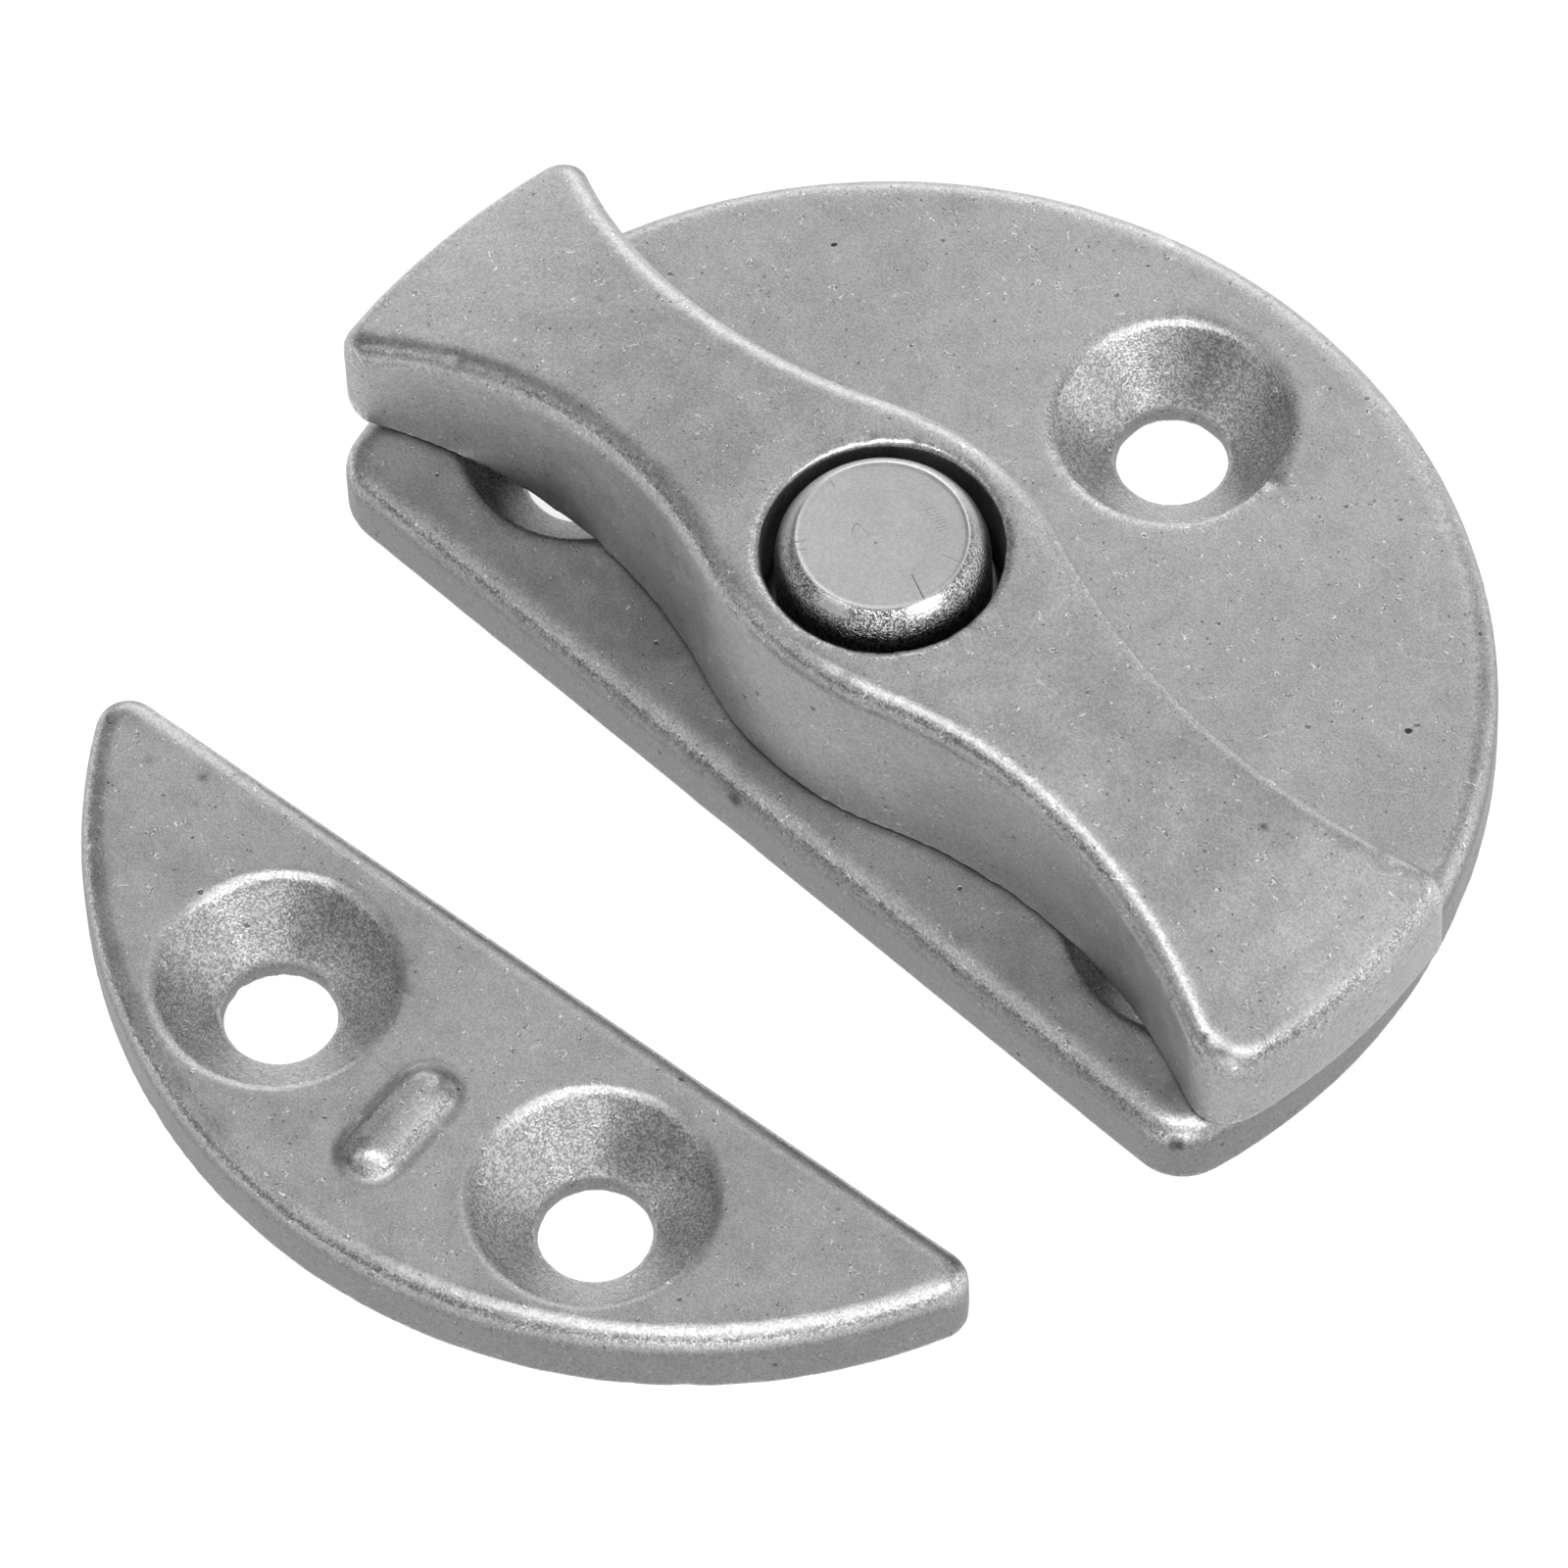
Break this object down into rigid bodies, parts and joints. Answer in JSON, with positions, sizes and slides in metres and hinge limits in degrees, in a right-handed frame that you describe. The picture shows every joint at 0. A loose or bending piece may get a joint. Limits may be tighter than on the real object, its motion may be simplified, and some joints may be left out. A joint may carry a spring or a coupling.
{
  "type": "turn-button cupboard catch with keeper",
  "caption": "Round turn-button cupboard catch: a humped bow-tie lever pivots on a countersunk segment base and swings over a loose segment keeper with a raised rib.",
  "frame": {"origin": "where the pivot axis meets the flat back of the base", "axes": "+Z along the pivot axis, out of the plate towards the pin's head; +Y away from the base's straight edge, with the keeper on the -Y side; the lever lies along X at rest"},
  "size_m": [0.0574, 0.0653, 0.0154],
  "materials": {
    "cast_steel": "tumbled, matt cast stainless steel",
    "lever_steel": "tumbled, matt cast stainless steel, edges worn bright",
    "pin_steel": "turned stainless steel, bevel left glossy",
    "spring_steel": "dull spring steel"
  },
  "bodies": {
    "base": {"base_plate": "cast_steel", "pivot_pin": "pin_steel", "spring_washer": "spring_steel", "keeper_plate": "cast_steel"},
    "lever": {"turn_lever": "lever_steel"}
  },
  "joints": [
    {"name": "lever_turn", "type": "hinge", "parent": "base", "child": "lever", "pos_m": [0, 0, 0], "axis": [0, 0, 1], "continuous": true}
  ]
}
